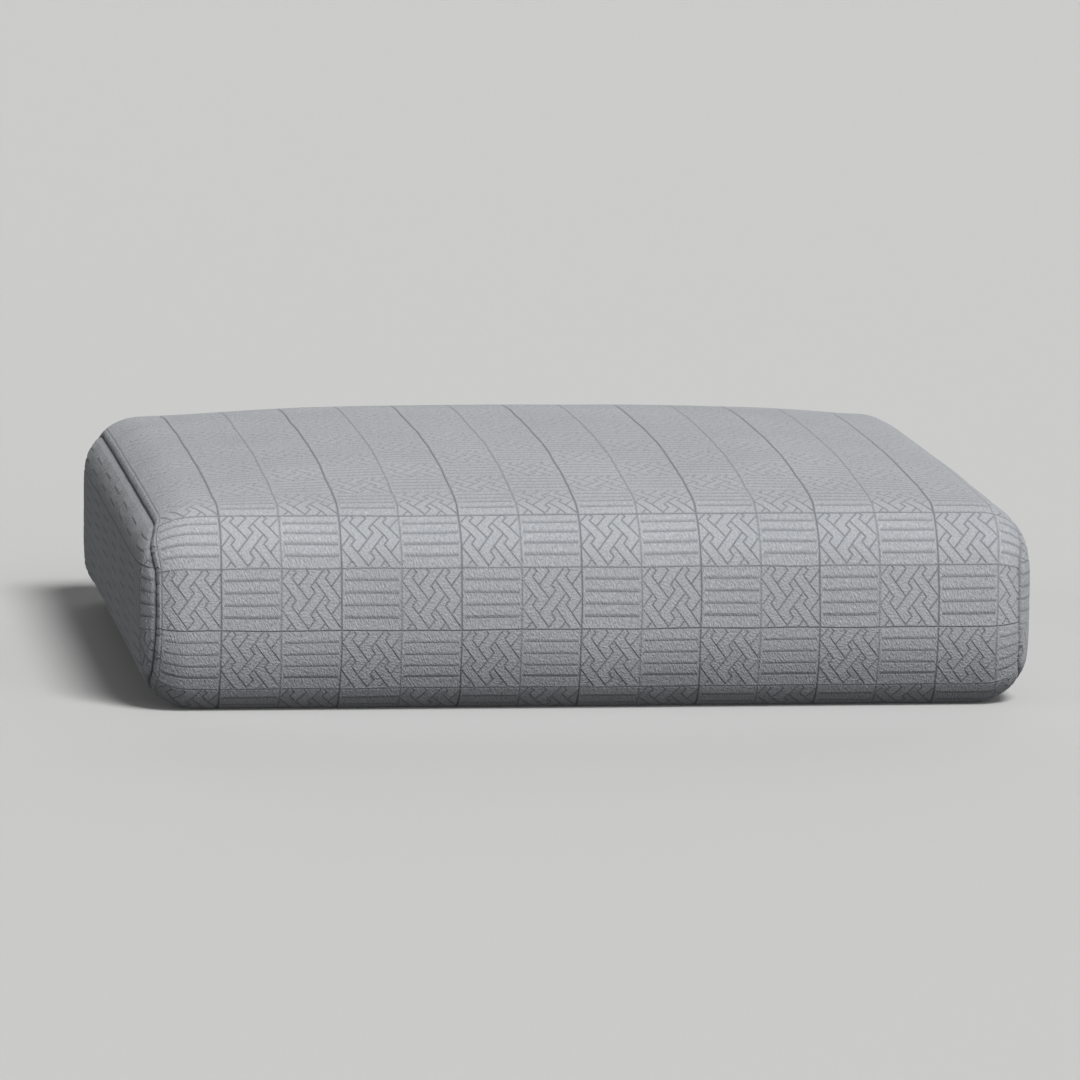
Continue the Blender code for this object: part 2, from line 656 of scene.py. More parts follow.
    def drop_slivers(self, bm: BMesh) -> None:
        """Joins each region too small to emboss to one beside it.

        Args:
            bm: The square, cut into regions.
        """
        while True:
            small = [f for f in bm.faces if f.calc_area() < self.smallest]
            shared = [
                max(inner, key=lambda e: e.calc_length())
                for inner in ([e for e in f.edges if not e.is_boundary] for f in small)
                if inner
            ]
            if not shared:
                return
            bmesh.ops.dissolve_edges(bm, edges=shared[:1], use_verts=False)

    def drop_straight(self, bm: BMesh) -> None:
        """Removes vertices that lie on a straight run of one line.

        Args:
            bm: The square, cut into regions.
        """
        straight = []
        for vert in bm.verts:
            if len(vert.link_edges) != 2:
                continue
            a, b = (e.other_vert(vert).co - vert.co for e in vert.link_edges)
            if a.angle(b) > STRAIGHT:
                straight.append(vert)
        bmesh.ops.dissolve_verts(bm, verts=straight)

    def ribbed(self) -> BMesh:
        """One square of level ribs.

        Returns:
            The square, placed as the lattice's square is.
        """
        border, groove = self.line_furrow.half_width, self.rib_furrow
        start, stop = self.rib_start, self.width - self.rib_stop
        columns = [border, start, start + self.rib_fade, stop - self.rib_fade, stop]
        columns.append(self.width - border)
        middles = [self.length * k / self.ribs for k in range(1, self.ribs)]
        rows = [border, self.length - border]
        for middle in middles:
            rows += [middle - groove.half_width, middle, middle + self.rib_shoulder]
        bm = bmesh.new()
        bmesh.ops.create_grid(bm, x_segments=1, y_segments=1, size=0.5)
        for vert in bm.verts:
            vert.co = (
                (vert.co.x + 0.5) * self.width,
                (vert.co.y + 0.5) * self.length,
                0.0,
            )
        self.cut_lines(bm, columns, sorted(rows))
        full = (start + self.rib_fade / 2, stop - self.rib_fade / 2)
        for vert in bm.verts:
            edge_gap = min(
                vert.co.x,
                self.width - vert.co.x,
                vert.co.y,
                self.length - vert.co.y,
            )
            if edge_gap < border / 2:
                vert.co.z = -self.strip_furrow.depth
            elif full[0] < vert.co.x < full[1] and any(
                abs(vert.co.y - middle) < border / 2 for middle in middles
            ):
                vert.co.z = -groove.depth
        return bm

    def cut_lines(
        self, bm: BMesh, across: Iterable[float], along: Iterable[float]
    ) -> None:
        """Cuts cloth along straight lines, and leaves it whole.

        Args:
            bm: The flat cloth.
            across: Places across the cloth of the lines that run along it.
            along: Places along the cloth of the lines that run across it.
        """
        for axis, places in ((0, across), (1, along)):
            for at in places:
                self.cut(bm, axis, at, SAME_PLACE)

    def match_borders(self, squares: Sequence[BMesh]) -> None:
        """Gives each border of each square the vertices of its neighbour's.

        Args:
            squares: One square of each motif.
        """
        for axis, size in ((0, self.width), (1, self.length)):
            marks = sorted(
                {
                    round(vert.co[1 - axis], DIGITS)
                    for bm in squares
                    for vert in bm.verts
                    if min(abs(vert.co[axis]), abs(vert.co[axis] - size)) < ON_BORDER
                }
            )
            kept = [
                mark
                for mark, last in zip(marks, [-1.0] + marks)
                if mark - last > self.mark_gap
            ]
            for bm in squares:
                for edge in self.border(bm, axis, 0.0) + self.border(bm, axis, size):
                    self.split_at(edge, 1 - axis, kept)

    def border(self, bm: BMesh, axis: int, at: float) -> list[BMEdge]:
        """Edges of a square that lie on one of its borders.

        Args:
            bm: The square.
            axis: The axis that the border lies across.
            at: Where on that axis it lies.

        Returns:
            The edges.
        """
        return [
            edge
            for edge in bm.edges
            if all(abs(vert.co[axis] - at) < ON_BORDER for vert in edge.verts)
        ]

    def split_at(self, edge: BMEdge, axis: int, marks: Sequence[float]) -> None:
        """Adds a vertex to a border edge at each mark that it passes.

        Args:
            edge: The edge.
            axis: The axis along which it runs.
            marks: Places along that axis.
        """
        first, last = sorted(edge.verts, key=lambda v: v.co[axis])
        for mark in marks:
            span = last.co[axis] - first.co[axis]
            gap = mark - first.co[axis]
            if gap < self.mark_gap or span - gap < self.mark_gap:
                continue
            edge, first = bmesh.utils.edge_split(edge, first, gap / span)
            if last not in edge.verts:
                edge = next(e for e in first.link_edges if last in e.verts)

    def sheet(
        self,
        columns: range,
        rows: range,
        corner: tuple[float, float],
        cuts: tuple[Sequence[float], Sequence[float]],
    ) -> BMesh:
        """Flat embossed cloth of whole squares.

        Args:
            columns: The columns of squares.
            rows: The rows of squares.
            corner: Flat place of the corner of the square at column 0, row 0.
            cuts: Places across and along for lines that let the cloth bend.

        Returns:
            The cloth, joined, with furrows as deep as their lines are.
        """
        squares = {Motif.RIBS: self.ribbed(), Motif.LATTICE: self.lattice()}
        self.match_borders(list(squares.values()))
        meshes = {}
        for motif, bm in squares.items():
            meshes[motif] = bpy.data.meshes.new(motif.name.lower())
            bm.to_mesh(meshes[motif])
            bm.free()
        cloth = bmesh.new()
        for row in rows:
            for column in columns:
                left = corner[0] + column * self.width
                bottom = corner[1] + row * self.length
                bm = bmesh.new()
                bm.from_mesh(meshes[Motif((column + row) % 2)])
                self.cut_lines(
                    bm,
                    [x - left for x in cuts[0] if 0 < x - left < self.width],
                    [y - bottom for y in cuts[1] if 0 < y - bottom < self.length],
                )
                bmesh.ops.translate(bm, verts=bm.verts, vec=(left, bottom, 0.0))
                piece = bpy.data.meshes.new("square")
                bm.to_mesh(piece)
                bm.free()
                cloth.from_mesh(piece)
                bpy.data.meshes.remove(piece)
        for mesh in meshes.values():
            bpy.data.meshes.remove(mesh)
        bmesh.ops.remove_doubles(cloth, verts=cloth.verts, dist=JOINED)
        self.deepen_lines(cloth, corner)
        return cloth

    def deepen_lines(self, cloth: BMesh, corner: tuple[float, float]) -> None:
        """Gives the lines between squares their own depths.

        Args:
            cloth: The joined cloth.
            corner: Flat place of the corner of the square at column 0, row 0.
        """
        for vert in cloth.verts:
            column = (vert.co.x - corner[0]) / self.width
            row = (vert.co.y - corner[1]) / self.length
            depths = []
            if abs(column - round(column)) * self.width < SAME_PLACE:
                depths.append(self.column_depths[round(column) % 2])
            if abs(row - round(row)) * self.length < SAME_PLACE:
                depths.append(self.row_depths[round(row) % 2])
            if depths:
                vert.co.z = -max(depths)


# Finishes


def linear(hex_colour: str) -> tuple[float, float, float, float]:
    """Turns an sRGB hex colour to linear values.

    Args:
        hex_colour: The colour, such as #9AA0A6.

    Returns:
        Its red, green, blue and alpha.
    """
    values = []
    for i in (1, 3, 5):
        value = int(hex_colour[i : i + 2], 16) / 255
        values.append(
            value / 12.92 if value <= 0.04045 else ((value + 0.055) / 1.055) ** 2.4
        )
    return (*values, 1.0)


def add_node(
    tree: bpy.types.NodeTree,
    kind: str,
    output: str | int,
    sockets: dict[str | int, Any] | None = None,
    **settings: Any,
) -> bpy.types.NodeSocket:
    """Adds a shader node.

    Args:
        tree: The node tree.
        kind: The node's type, without the "ShaderNode" that it starts with.
        output: Name or number of the output that is wanted.
        sockets: Its inputs by name or number: a value, or an output to link.
        settings: Its own settings.

    Returns:
        The output that is wanted.
    """
    node = tree.nodes.new(f"ShaderNode{kind}")
    for name, value in settings.items():
        setattr(node, name, value)
    for name, value in (sockets or {}).items():
        if isinstance(value, bpy.types.NodeSocket):
            tree.links.new(value, node.inputs[name])
        else:
            node.inputs[name].default_value = value
    return node.outputs[output]


@dataclass(frozen=True)
class StretchJacquard:
    """Polyester and elastane jacquard, knitted double and raised in relief.

    The face is a matte spun-look polyester yarn: it has no mirror highlight,
    a soft sheen where it turns away, and a fine crepe grain.  The bars of the
    ribbed squares are drawn up by the elastic backing, so they crinkle
    across.  The colour is painted darker in the low places of the crinkle and
    grain and lighter on their highs, as painted shade, over patches of random
    tone.  The furrows and the cloth by the seams are painted darker as well:
    painted shade in the hollows.
    """

    name: str = "polyester stretch jacquard, embossed"
    # The two colours give random tone and painted shade of the crinkle and grain: lighter
    # highs, darker lows.
    light_tone_and_crest_light: str = "#BDBFC3"
    dark_tone_and_crease_shade: str = "#9A9DA1"
    # Painted shade for the furrows and the cloth by the seams.
    furrow_and_seam_shade: str = "#7C7F84"
    roughness: float = 0.93
    sheen: float = 0.12
    crinkle: tuple[float, float] = (1.35 * MM, 3.4 * MM)
    crinkle_lean: float = 20.0
    grain: float = 2.0 * MM
    crinkle_relief: float = 0.9 * MM
    grain_relief: float = 0.25 * MM
    grain_share: float = 0.7
    # Shares that turn the relief's height, 0 to 1, to the lighter colour's share: painted
    # shade in the low places, lighter on the highs.
    crease_shade_gain: float = 1.7
    crease_shade_start: float = -0.6
    patch_gain: float = 0.5
    patches_a_metre: float = 9.0
    shade_power: float = 0.9
    rough_gain: float = 0.08

    def material(self, cloth: EmbossedCloth) -> bpy.types.Material:
        """Makes the material for pieces that mark_cloth() has marked.

        Args:
            cloth: The cloth, whose squares give the patterns their scale.

        Returns:
            The material.
        """
        material = bpy.data.materials.new(self.name)
        material.use_nodes = True
        tree = material.node_tree
        shader = tree.nodes["Principled BSDF"]
        shader.inputs["Metallic"].default_value = 0.0
        shader.inputs["IOR"].default_value = 1.5
        shader.inputs["Specular IOR Level"].default_value = 0.25
        shader.inputs["Sheen Weight"].default_value = self.sheen
        shader.inputs["Sheen Roughness"].default_value = 0.5
        node = partial(add_node, tree)
        uv = node("UVMap", "UV", uv_map="cloth")
        ribbed = node("TexChecker", "Fac", {"Vector": uv, "Scale": 1.0})
        # The crinkles lean, because the elastic draws the bars up on the skew.
        lean = (0.0, 0.0, math.radians(self.crinkle_lean))
        size = (self.crinkle[0] / cloth.width, self.crinkle[1] / cloth.length, 1.0)
        skewed = node(
            "Mapping",
            "Vector",
            {"Vector": uv, "Rotation": lean, "Scale": size},
            vector_type="TEXTURE",
        )
        crinkle = node(
            "TexNoise",
            "Fac",
            {"Vector": skewed, "Scale": 1.0, "Detail": 1.0, "Distortion": 0.5},
            noise_dimensions="2D",
        )
        count = (cloth.width / self.grain, cloth.length / self.grain, 1.0)
        fine = node("Mapping", "Vector", {"Vector": uv, "Scale": count})
        grain = node(
            "TexNoise",
            "Fac",
            {"Vector": fine, "Scale": 1.0, "Detail": 2.0},
            noise_dimensions="2D",
        )
        soft_grain = node(
            "Mix", "Result", {"Factor": self.grain_share, "A": 0.5, "B": grain}
        )
        relief = node(
            "Mix", "Result", {"Factor": ribbed, "A": soft_grain, "B": crinkle}
        )
        low_bump = node(
            "Bump", "Normal", {"Height": grain, "Distance": self.grain_relief}
        )
        high_bump = node(
            "Bump",
            "Normal",
            {
                "Height": relief,
                "Distance": self.crinkle_relief,
                "Strength": 0.8,
                "Normal": low_bump,
            },
        )
        patches = node(
            "TexNoise",
            "Fac",
            {
                "Vector": node("TexCoord", "Object"),
                "Scale": self.patches_a_metre,
                "Detail": 3.0,
            },
        )
        # Painted shade: the low places of the crinkle and grain get the darker colour, the
        # high ones the lighter.
        crease_shade_share = node(
            "Math",
            "Value",
            {0: relief, 1: self.crease_shade_gain, 2: self.crease_shade_start},
            operation="MULTIPLY_ADD",
        )
        tone_and_shade_share = node(
            "Math",
            "Value",
            {0: patches, 1: self.patch_gain, 2: crease_shade_share},
            operation="MULTIPLY_ADD",
            use_clamp=True,
        )
        yarn = node(
            "Mix",
            2,
            {
                "Factor": tone_and_shade_share,
                6: linear(self.dark_tone_and_crease_shade),
                7: linear(self.light_tone_and_crest_light),
            },
            data_type="RGBA",
        )
        # Painted shade: the furrows and the cloth by the seams are mixed towards a darker
        # colour.
        shade = node(
            "Math",
            "Value",
            {
                0: node("Attribute", "Fac", attribute_name="furrow"),
                1: self.shade_power,
            },
            operation="POWER",
        )
        colour = node(
            "Mix",
            2,
            {"Factor": shade, 6: yarn, 7: linear(self.furrow_and_seam_shade)},
            data_type="RGBA",
        )
        rough = node(
            "Math",
            "Value",
            {0: grain, 1: self.rough_gain, 2: self.roughness - self.rough_gain / 2},
            operation="MULTIPLY_ADD",
            use_clamp=True,
        )
        tree.links.new(colour, shader.inputs["Base Color"])
        tree.links.new(rough, shader.inputs["Roughness"])
        tree.links.new(high_bump, shader.inputs["Normal"])
        return material


@dataclass(frozen=True)
class MattePaint:
    """Matte emulsion on a studio floor, rolled, so it has a faint stipple."""

    name: str = "matt studio paint"
    colour: str = "#CCCCCB"
    stipple: float = 4.0 * MM
    relief: float = 0.05 * MM

    def material(self) -> bpy.types.Material:
        """Makes the floor's material.

        Returns:
            The material.
        """
        material = bpy.data.materials.new(self.name)
        material.use_nodes = True
        tree = material.node_tree
        shader = tree.nodes["Principled BSDF"]
        shader.inputs["Base Color"].default_value = linear(self.colour)
        shader.inputs["Roughness"].default_value = 0.9
        shader.inputs["Specular IOR Level"].default_value = 0.2
        place = add_node(tree, "TexCoord", "Object")
        dots = {"Vector": place, "Scale": 1.0 / self.stipple}
        height = add_node(tree, "TexNoise", "Fac", dots)
        bumps = {"Height": height, "Distance": self.relief}
        bump = add_node(tree, "Bump", "Normal", bumps)
        tree.links.new(bump, shader.inputs["Normal"])
        return material


# The cover's pieces


@dataclass
class SeamTension:
    """How the cloth behaves near the end seams, and how uneven it is."""

    notch_depth: float = 2.9 * MM
    notch_width: float = 2.0 * MM
    pucker: float = 1.3 * MM
    pucker_reach: float = 16.0 * MM
    pucker_length: float = 13.0 * MM
    wave: float = 0.8 * MM
    wave_length: float = 0.11
    drift: float = 0.8 * MM
    drift_length: float = 0.045
    pile: float = 0.4 * MM
    rings: tuple[float, ...] = (2.4 * MM, 1.1 * MM)
    ring_start: float = 4.6 * MM
    # Where in the noise each unevenness starts, so that no two are alike.
    ridge_start: float = 0.3
    swell_start: tuple[float, float, float] = (3.1, 0.7, 5.2)
    across_start: tuple[float, float, float] = (7.3, 1.9, 4.4)
    along_start: tuple[float, float, float] = (2.6, 8.8, 0.3)

    def lift(self, at: Vector, side: int, run: float) -> float:
        """Height of the cloth over its form.

        Args:
            at: The place on the form.
            side: 1 near the right seam, -1 near the left.
            run: Distance from the seam.

        Returns:
            The height, in metres.
        """
        run = max(0.0, run)
        notch = -self.notch_depth * math.exp(-run / self.notch_width)
        near = max(0.0, 1.0 - run / self.pucker_reach)
        along = at / self.pucker_length
        ridge = noise.noise(Vector((self.ridge_start * side, along.y, along.z)))
        swell = noise.noise(at / self.wave_length + Vector(self.swell_start))
        return (
            self.pile
            + notch
            + self.pucker * ridge * near * near
            + self.wave * swell * (1.0 - near)
        )

    def seam_shade(self, run: float) -> float:
        """How much painted shade darkens the cloth at a distance from the seam, from 0 to
        1.
        """
        return math.exp(-max(0.0, run) / self.notch_width)

    def drifted(self, at: Vector, run: float) -> tuple[float, float]:
        """How far the cloth's pattern has drifted.

        Args:
            at: The place on the form.
            run: Distance from the seam.

        Returns:
            The drift across and along, in metres.
        """
        near = min(1.0, max(0.0, run) / self.pucker_reach)
        spot = at / self.drift_length
        return (
            self.drift * near * noise.noise(spot + Vector(self.across_start)),
            self.drift * near * noise.noise(spot + Vector(self.along_start)),
        )


def lines_between(start: float, stop: float, longest: float) -> list[float]:
    """Evenly spaced places from start to stop, no farther apart than longest."""
    count = max(1, math.ceil((stop - start) / longest))
    return [start + (stop - start) * i / count for i in range(count + 1)]


def mark_cloth(bm: BMesh, cloth: EmbossedCloth, corner: tuple[float, float]) -> None:
    """Writes the cloth's UV map in squares, and the painted shade and low marks of its
    furrows, while flat.

    Args:
        bm: The flat cloth.
        cloth: What it is made of.
        corner: Flat place of the corner of the square at column 0, row 0.
    """
    uv = bm.loops.layers.uv.new("cloth")
    furrow = bm.verts.layers.float.new("furrow")
    low = bm.verts.layers.int.new("low")
    for vert in bm.verts:
        # The furrow layer holds painted shade, fuller the deeper the furrow.
        vert[furrow] = max(0.0, min(1.0, -vert.co.z / cloth.full_shade_depth))
        vert[low] = int(vert[furrow] > LOW_SHARE)
    for face in bm.faces:
        for loop in face.loops:
            loop[uv].uv = (
                (loop.vert.co.x - corner[0]) / cloth.width,
                (loop.vert.co.y - corner[1]) / cloth.length,
            )


def shade_relief(bm: BMesh) -> list[Vector]:
    """Normals that keep raised parts as flat as they are.

    A raised part's corners take the lean of the raised faces round them, and
    a furrow's bottom takes each wall's own, so that shoulders look rounded.

    Args:
        bm: The laid cloth, with the "low" layer that mark_cloth() writes.

    Returns:
        A normal for each corner of each face, in order.
    """
    low = bm.verts.layers.int["low"]
    lean: dict[BMVert, Vector] = {}
    for vert in bm.verts:
        raised = [
            face
            for face in vert.link_faces
            if not any(other[low] for other in face.verts)
        ]
        total = Vector()
        for face in raised or vert.link_faces:
            total += face.normal * face.calc_area()
        lean[vert] = total.normalized()
    return [
        face.normal.copy() if loop.vert[low] else lean[loop.vert]
        for face in bm.faces
        for loop in face.loops
    ]


def finish_piece(
    name: str,
    bm: BMesh,
    material: bpy.types.Material,
    embossed: bool = True,
) -> bpy.types.Object:
    """Turns a finished mesh into an object with its finish.

    Args:
        name: The object's name.
        bm: Its mesh, which is freed.
        material: Its finish.
        embossed: Whether it is laid cloth with a relief.

    Returns:
        The object, at the origin.
    """
    for face in bm.faces:
        face.smooth = embossed
    normals = shade_relief(bm) if embossed else []
    mesh = bpy.data.meshes.new(name)
    bm.to_mesh(mesh)
    bm.free()
    if normals:
        mesh.normals_split_custom_set(normals)
    mesh.materials.append(material)
    piece = bpy.data.objects.new(name, mesh)
    bpy.context.scene.collection.objects.link(piece)
    return piece


def triangle_count(piece: bpy.types.Object) -> int:
    """Number of triangles in a piece's own mesh."""
    return sum(len(face.vertices) - 2 for face in piece.data.polygons)


def extrude_rim(bm: BMesh, rim: Iterable[BMEdge]) -> tuple[list[BMVert], list[BMEdge]]:
    """Extrudes a mesh's rim where it is.

    Args:
        bm: The mesh.
        rim: The edges of the rim.

    Returns:
        The vertices and edges of the new rim.
    """
    grown = bmesh.ops.extrude_edge_only(bm, edges=list(rim))["geom"]
    verts = [g for g in grown if isinstance(g, BMVert)]
    edges = [g for g in grown if isinstance(g, BMEdge) and len(g.link_faces) == 1]
    return verts, edges


@dataclass
class WrapPanel:
    """The panel that wraps the filling, closed under the end panels."""

    form: CushionForm
    cloth: EmbossedCloth
    tension: SeamTension
    rows: int = 32
    # Cloth places of the lines at which row 0 and column 0 start.
    first_row_line: float = -0.0138
    first_column_line: float = -0.3588
    columns: int = 16
    under_panel: float = 3.4 * MM
    # Where the cloth needs bend lines, and how far apart they lie at most.
    end_margin: float = 0.01
    seam_margin: float = 0.006
    flat_middle: float = 0.12
    end_bends: float = 0.010
    side_bends: tuple[float, ...] = (8 * MM, 17 * MM, 17 * MM, 8 * MM)
    top_bends: float = 0.040
    under_bends: float = 0.120
    floor_reach: float = 0.5 * MM
    turned_in: tuple[float, float] = (0.3, 0.65)

    @property
    def corner(self) -> tuple[float, float]:
        """Cloth place of the corner of the square at column 0, row 0."""
        return self.first_column_line, self.first_row_line

    def bend_lines(self) -> tuple[list[float], list[float]]:
        """Works out where the flat cloth bends.

        Returns:
            Lines that run along it, by their place across, and lines that run
            across it, by their place along.
        """
        form = self.form
        middles = [
            self.first_column_line + (k + 0.5) * self.cloth.width
            for k in range(self.columns - 2)
        ]
        last = form.edge_start - self.end_margin
        across = [x for x in middles if self.flat_middle < abs(x) < last]
        stop = form.seam_u - self.seam_margin
        ends = lines_between(form.edge_start, stop, self.end_bends)
        across += ends + [-x for x in ends]
        side: list[float] = []
        run = 0.0
        for bend, longest in zip(form.bends, self.side_bends):
            side += lines_between(run, run + bend.length, longest)[:-1]
            run += bend.length
        side.append(run)
        top = lines_between(form.side, form.side + form.top, self.top_bends)
        under = lines_between(form.back, form.loop, self.under_bends)
        along = side + top + [form.back - s for s in side] + under
        along += [s - form.loop for s in under] + [s + form.loop for s in side]
        return across, along

    def flat(self) -> BMesh:
        """Makes the flat cloth.

        Returns:
            The cloth, cut off a little short of its seams.
        """
        cloth = self.cloth.sheet(
            range(-1, self.columns - 1),
            range(self.rows),
            self.corner,
            self.bend_lines(),
        )
        reach = self.form.seam_u - self.tension.ring_start
        end = self.first_row_line + self.rows * self.cloth.length
        self.cloth.trim(cloth, (-reach, self.first_row_line), (reach, end))
        return cloth

    def add_rings(self, bm: BMesh) -> None:
        """Runs the flat cloth on to its seams, a ring of faces at a time.

        Args:
            bm: The flat cloth.
        """
        reach = self.form.seam_u - self.tension.ring_start
        for side in (1, -1):
            rim = [
                edge
                for edge in bm.edges
                if edge.is_boundary
                and all(abs(v.co.x - side * reach) < SAME_PLACE for v in edge.verts)
            ]
            for gap in (*self.tension.rings, 0.0):
                verts, edges = extrude_rim(bm, rim)
                for vert in verts:
                    vert.co.x = side * (self.form.seam_u - gap)
                grown = set(verts)
                rim = [edge for edge in edges if grown.issuperset(edge.verts)]

    def lay(self, bm: BMesh) -> None:
        """Lays the flat cloth on the form, and closes its loop.

        Args:
            bm: The flat cloth, marked.
        """
        form, tension = self.form, self.tension
        place = form.wrap_place
        furrow = bm.verts.layers.float["furrow"]
        round_s = bm.verts.layers.float.new("round")
        seam = bm.verts.layers.int.new("seam")
        for vert in bm.verts:
            u, s, height = vert.co
            side = 1 if u > 0 else -1
            run = form.seam_u - abs(u)
            base = place(u, s)
            across, along = tension.drifted(base, run)
            u, s = u + across, s + along
            base = place(u, s)
            lift = tension.lift(base, side, run)
            if base.z < self.floor_reach:
                lift = min(lift, tension.pile)
            vert.co = base + facing(place, u, s) * (height + lift)
            vert.co.z = max(0.0, vert.co.z)
            # Painted shade darkens the cloth next to the seam.
            vert[furrow] = max(vert[furrow], tension.seam_shade(run))
            vert[round_s] = s
            vert[seam] = side if run < ON_BORDER else 0
        bmesh.ops.remove_doubles(
            bm, verts=[v for v in bm.verts if v.is_boundary], dist=SAME_PLACE
        )

    def close_ends(self, bm: BMesh) -> None:
        """Turns the cloth in under each end panel and closes the filling.

        Args:
            bm: The laid cloth.
        """
        form = self.form
        round_s = bm.verts.layers.float["round"]
        seam = bm.verts.layers.int["seam"]
        last = math.radians(form.panel_turn)
        for side in (1, -1):
            rim = [
                edge
                for edge in bm.edges
                if edge.is_boundary and all(v[seam] == side for v in edge.verts)
            ]
            level = self.under_panel
            deep = self.tension.notch_depth + level
            drop, rise = self.turned_in
            steps = ((0.0, deep), (drop, deep), (rise, level), (1.0, level))
            for share, depth in steps:
                verts, rim = extrude_rim(bm, rim)
                for vert in verts:
                    s = vert[round_s]
                    turn = form.seam_turn(s)
                    turn += (last - turn) * share
                    vert.co = form.edge_place(s, side, turn, depth)
            bmesh.ops.edgeloop_fill(bm, edges=rim)

    def build(self, material: bpy.types.Material) -> bpy.types.Object:
        """Builds and dresses the piece.

        Args:
            material: Its finish.

        Returns:
            The finished object.
        """
        bm = self.flat()
        self.add_rings(bm)
        mark_cloth(bm, self.cloth, self.corner)
        self.lay(bm)
        self.close_ends(bm)
        bmesh.ops.recalc_face_normals(bm, faces=bm.faces)
        LOG.info("wrap panel: %d open edges", sum(e.is_boundary for e in bm.edges))
        piece = finish_piece("wrap_panel_cover", bm, material)
        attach(piece, "root")
        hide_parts("wrap_panel")
        return piece


@dataclass
class EndPanel:
    """A set-in panel that closes one end."""

    form: CushionForm
    cloth: EmbossedCloth
    tension: SeamTension
    end: End
    wrap: bpy.types.Object
    flat_size: tuple[float, float] = (0.698, 0.147)
    thickness: float = 2.0 * MM
    gap: float = 0.4 * MM
    # Height over the floor of the line at which row 2 starts.
    level_line: float = 0.121
    first_column_line: float = -0.375
    columns: range = range(15)
    rows: range = range(-1, 4)
    # Where the bend lines near an edge stop, and how far apart they lie.
    overlap: float = 0.01
    end_bends: tuple[float, float] = (0.36, 0.012)
    middle_bends: float = 0.027
    edge_bends: tuple[float, float] = (0.040, 0.0075)

    @property
    def corner(self) -> tuple[float, float]:
        """Flat place of the corner of the square at column 0, row 0."""
        level = self.level_line - self.form.core_height
        return self.first_column_line, level - 2 * self.cloth.length

    def place(self, a: float, b: float) -> Vector:
        """The place in the frame of the panel's flat place a, b."""
        return self.form.panel_place(self.end.value, a, b)

    def flat(self) -> BMesh:
        """Makes the flat cloth.

        Returns:
            The cloth, cut along its outline a little short of its seam.
        """
        core = self.form.core_half
        high = self.form.panel_reach(self.form.side + self.form.top_half)
        ends = lines_between(core - self.overlap, *self.end_bends)
        across = ends + [-x for x in ends]
        across += lines_between(-core, core, self.middle_bends)
        edges = [high - x for x in lines_between(0.0, *self.edge_bends)]
        along = edges + [-x for x in edges]
        cloth = self.cloth.sheet(self.columns, self.rows, self.corner, (across, along))
        self.cut_out(cloth, self.tension.ring_start)
        return cloth

    def cut_out(self, bm: BMesh, margin: float) -> None:
        """Cuts the flat cloth along its outline.

        Args:
            bm: The flat cloth, larger than the panel.
            margin: How far inside the seam the cut runs.
        """
        inside = {
            vert: self.form.panel_polar(vert.co.x, vert.co.y)[1] - margin
            for vert in bm.verts
        }
        for vert, depth in inside.items():
            if abs(depth) < SAME_PLACE:
                inside[vert] = 0.0
        on_line = [vert for vert, depth in inside.items() if depth == 0.0]
        for edge in bm.edges[:]:
            first, last = edge.verts
            if inside[first] * inside[last] < 0.0:
                share = inside[first] / (inside[first] - inside[last])
                _edge, vert = bmesh.utils.edge_split(edge, first, share)
                on_line.append(vert)
        bmesh.ops.connect_verts(bm, verts=on_line)
        outside = [
            face
            for face in bm.faces
            if sum(inside.get(vert, 0.0) for vert in face.verts) < 0.0
        ]
        bmesh.ops.delete(bm, geom=outside, context="FACES")

    def add_rings(self, bm: BMesh) -> None:
        """Runs the flat cloth on to its seam, a ring of faces at a time.

        Args:
            bm: The flat cloth.
        """
        form = self.form
        rim = [edge for edge in bm.edges if edge.is_boundary]
        for gap in (self.tension.ring_start, *self.tension.rings, self.gap):
            if gap < self.tension.ring_start:
                rim = extrude_rim(bm, rim)[1]
            for vert in {v for edge in rim for v in edge.verts}:
                s, _run = form.panel_polar(vert.co.x, vert.co.y)
                a, b = form.panel_flat(s, gap)
                vert.co = (a, b, vert.co.z)

    def lay(self, bm: BMesh) -> None:
        """Lays the flat cloth on the end of the form.

        Args:
            bm: The flat cloth, marked.
        """
        form, tension, side = self.form, self.tension, self.end.value
        furrow = bm.verts.layers.float["furrow"]
        out = bm.verts.layers.float_vector.new("out")
        for vert in bm.verts:
            a, b, height = vert.co
            run = form.panel_polar(a * side, b)[1]
            # Painted shade darkens the cloth next to the seam.
            vert[furrow] = max(vert[furrow], tension.seam_shade(run))
            base = self.place(a, b)
            across, along = tension.drifted(base, run)
            a, b = a + across, b + along
            base = self.place(a, b)
            lift = tension.lift(base, side, run) - self.gap
            vert[out] = facing(self.place, a, b)
            vert.co = base + vert[out] * (height + lift)
            vert.co.z = max(0.0, vert.co.z)

    def thicken(self, bm: BMesh) -> None:
        """Gives the laid cloth its thickness, inwards, and closes its edge.

        Args:
            bm: The laid cloth.
        """
        out = bm.verts.layers.float_vector["out"]
        low = bm.verts.layers.int["low"]
        inner = bm.verts[:]
        bmesh.ops.extrude_face_region(bm, geom=bm.faces[:], use_keep_orig=True)
        for vert in inner:
            vert.co -= vert[out] * self.thickness
            vert.co.z = max(0.0, vert.co.z)
            vert[low] = 0
        bmesh.ops.recalc_face_normals(bm, faces=bm.faces)
        LOG.info(
            "%s end panel: %d open edges",
            self.end.name.lower(),
            sum(e.is_boundary for e in bm.edges),
        )

